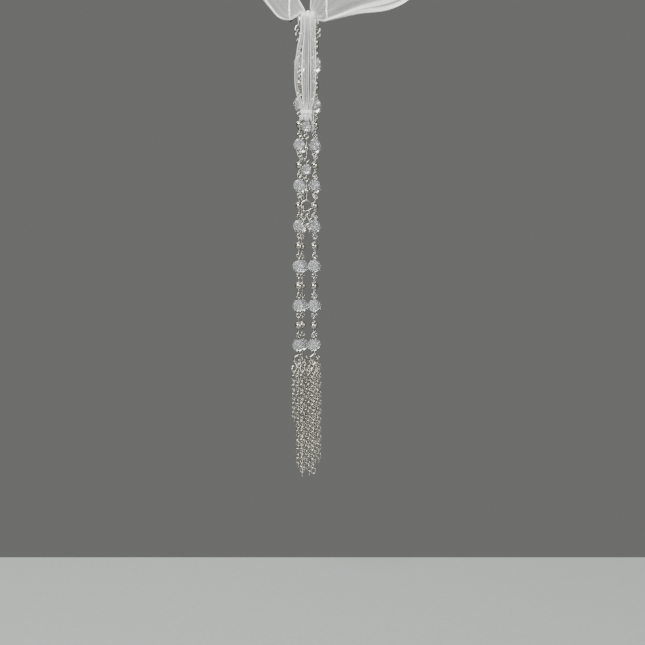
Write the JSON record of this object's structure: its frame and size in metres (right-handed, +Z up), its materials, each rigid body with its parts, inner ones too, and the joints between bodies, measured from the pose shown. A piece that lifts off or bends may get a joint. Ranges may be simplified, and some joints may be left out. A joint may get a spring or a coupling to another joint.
{
  "type": "decorative hair pin",
  "caption": "Two-prong hair pin carrying a sheer ribbon bow, hanging strands of faceted crystal and polished ball beads on wire links, and fine chain tassels.",
  "frame": {"origin": "foot of the left prong's straight shank, on its axis", "axes": "+X across the two prongs to the right, +Y back toward the wearer's head, +Z up along the prongs; the strands hang toward -Z"},
  "size_m": [0.0891, 0.0191, 0.2966],
  "materials": {
    "pin_steel": "polished",
    "bright_chrome": "polished",
    "crystal": "faceted and clear",
    "organza": "sheer woven ribbon with a satin edge",
    "white_thread": "wound thread"
  },
  "bodies": {
    "bow_pin": {"fork_pin": "pin_steel", "ribbon_knot": "organza", "bow_loop_left": "organza", "bow_loop_right": "organza"},
    "left_hanger": {"hanger_ring_left": "bright_chrome"},
    "right_hanger": {"hanger_ring_right": "bright_chrome"},
    "ribbon_tails": {"ribbon_tail_left": "organza", "ribbon_tail_centre": "organza", "ribbon_tail_right": "organza", "waist_thread": "white_thread"},
    "centre_strand": {"centre_crystals": "crystal", "centre_balls": "bright_chrome", "centre_eye_pins": "bright_chrome", "centre_clasp_ring": "bright_chrome", "centre_chains": "bright_chrome"},
    "left_front_upper": {"left_front_top_ring": "bright_chrome", "left_front_upper_balls": "bright_chrome", "left_front_upper_crystals": "crystal", "left_front_upper_eye_pins": "bright_chrome"},
    "left_front_lower": {"left_front_lower_balls": "bright_chrome", "left_front_lower_crystals": "crystal", "left_front_lower_eye_pins": "bright_chrome"},
    "left_front_tassel": {"left_front_tassel_ring": "bright_chrome", "left_front_outer_chains": "bright_chrome", "left_front_middle_chains": "bright_chrome"},
    "left_back_upper": {"left_back_top_ring": "bright_chrome", "left_back_upper_balls": "bright_chrome", "left_back_upper_crystals": "crystal", "left_back_upper_eye_pins": "bright_chrome"},
    "left_back_lower": {"left_back_lower_balls": "bright_chrome", "left_back_lower_crystals": "crystal", "left_back_lower_eye_pins": "bright_chrome"},
    "left_back_tassel": {"left_back_tassel_ring": "bright_chrome", "left_back_outer_chains": "bright_chrome", "left_back_middle_chains": "bright_chrome"},
    "right_front_upper": {"right_front_top_ring": "bright_chrome", "right_front_upper_balls": "bright_chrome", "right_front_upper_crystals": "crystal", "right_front_upper_eye_pins": "bright_chrome"},
    "right_front_lower": {"right_front_lower_balls": "bright_chrome", "right_front_lower_crystals": "crystal", "right_front_lower_eye_pins": "bright_chrome"},
    "right_front_tassel": {"right_front_tassel_ring": "bright_chrome", "right_front_outer_chains": "bright_chrome", "right_front_middle_chains": "bright_chrome"},
    "right_back_upper": {"right_back_top_ring": "bright_chrome", "right_back_upper_balls": "bright_chrome", "right_back_upper_crystals": "crystal", "right_back_upper_eye_pins": "bright_chrome"},
    "right_back_lower": {"right_back_lower_balls": "bright_chrome", "right_back_lower_crystals": "crystal", "right_back_lower_eye_pins": "bright_chrome"},
    "right_back_tassel": {"right_back_tassel_ring": "bright_chrome", "right_back_outer_chains": "bright_chrome", "right_back_middle_chains": "bright_chrome"}
  },
  "joints": [
    {"name": "left_hanger_swing", "type": "hinge", "parent": "bow_pin", "child": "left_hanger", "pos_m": [0.00555, -0.007, -0.003], "axis": [1, 0, 0], "range_deg": [-35, 35]},
    {"name": "right_hanger_swing", "type": "hinge", "parent": "bow_pin", "child": "right_hanger", "pos_m": [0.01305, -0.007, -0.003], "axis": [1, 0, 0], "range_deg": [-35, 35]},
    {"name": "tails_swing", "type": "hinge", "parent": "bow_pin", "child": "ribbon_tails", "pos_m": [0.0093, -0.007, -0.003], "axis": [1, 0, 0], "range_deg": [-35, 35]},
    {"name": "centre_strand_swing", "type": "hinge", "parent": "ribbon_tails", "child": "centre_strand", "pos_m": [0.0087, -0.01605, -0.05355], "axis": [0, 1, 0], "range_deg": [-12, 12]},
    {"name": "left_front_strand_swing", "type": "hinge", "parent": "left_hanger", "child": "left_front_upper", "pos_m": [0.00555, -0.0102, -0.00922], "axis": [0, 1, 0], "range_deg": [0, 25]},
    {"name": "left_front_lower_swing", "type": "hinge", "parent": "left_front_upper", "child": "left_front_lower", "pos_m": [0.00476, -0.0102, -0.1114], "axis": [-1, 0, 0], "range_deg": [0, 30]},
    {"name": "left_front_tassel_swing", "type": "hinge", "parent": "left_front_lower", "child": "left_front_tassel", "pos_m": [0.0043, -0.0102, -0.1708], "axis": [0, 1, 0], "range_deg": [0, 25]},
    {"name": "left_back_strand_swing", "type": "hinge", "parent": "left_hanger", "child": "left_back_upper", "pos_m": [0.00555, -0.0038, -0.00922], "axis": [0, 1, 0], "range_deg": [0, 25]},
    {"name": "left_back_lower_swing", "type": "hinge", "parent": "left_back_upper", "child": "left_back_lower", "pos_m": [0.00607, -0.0038, -0.1114], "axis": [1, 0, 0], "range_deg": [0, 30]},
    {"name": "left_back_tassel_swing", "type": "hinge", "parent": "left_back_lower", "child": "left_back_tassel", "pos_m": [0.00638, -0.0038, -0.1708], "axis": [0, 1, 0], "range_deg": [0, 25]},
    {"name": "right_front_strand_swing", "type": "hinge", "parent": "right_hanger", "child": "right_front_upper", "pos_m": [0.01305, -0.0102, -0.00922], "axis": [0, -1, 0], "range_deg": [0, 25]},
    {"name": "right_front_lower_swing", "type": "hinge", "parent": "right_front_upper", "child": "right_front_lower", "pos_m": [0.01233, -0.0102, -0.1114], "axis": [-1, 0, 0], "range_deg": [0, 30]},
    {"name": "right_front_tassel_swing", "type": "hinge", "parent": "right_front_lower", "child": "right_front_tassel", "pos_m": [0.01191, -0.0102, -0.1708], "axis": [0, -1, 0], "range_deg": [0, 25]},
    {"name": "right_back_strand_swing", "type": "hinge", "parent": "right_hanger", "child": "right_back_upper", "pos_m": [0.01305, -0.0038, -0.00922], "axis": [0, -1, 0], "range_deg": [0, 25]},
    {"name": "right_back_lower_swing", "type": "hinge", "parent": "right_back_upper", "child": "right_back_lower", "pos_m": [0.01279, -0.0038, -0.1114], "axis": [1, 0, 0], "range_deg": [0, 30]},
    {"name": "right_back_tassel_swing", "type": "hinge", "parent": "right_back_lower", "child": "right_back_tassel", "pos_m": [0.01264, -0.0038, -0.1708], "axis": [0, -1, 0], "range_deg": [0, 25]}
  ],
  "couplings": [
    {"joint": "right_hanger_swing", "follows": "left_hanger_swing", "ratio": 1},
    {"joint": "tails_swing", "follows": "left_hanger_swing", "ratio": 1}
  ]
}
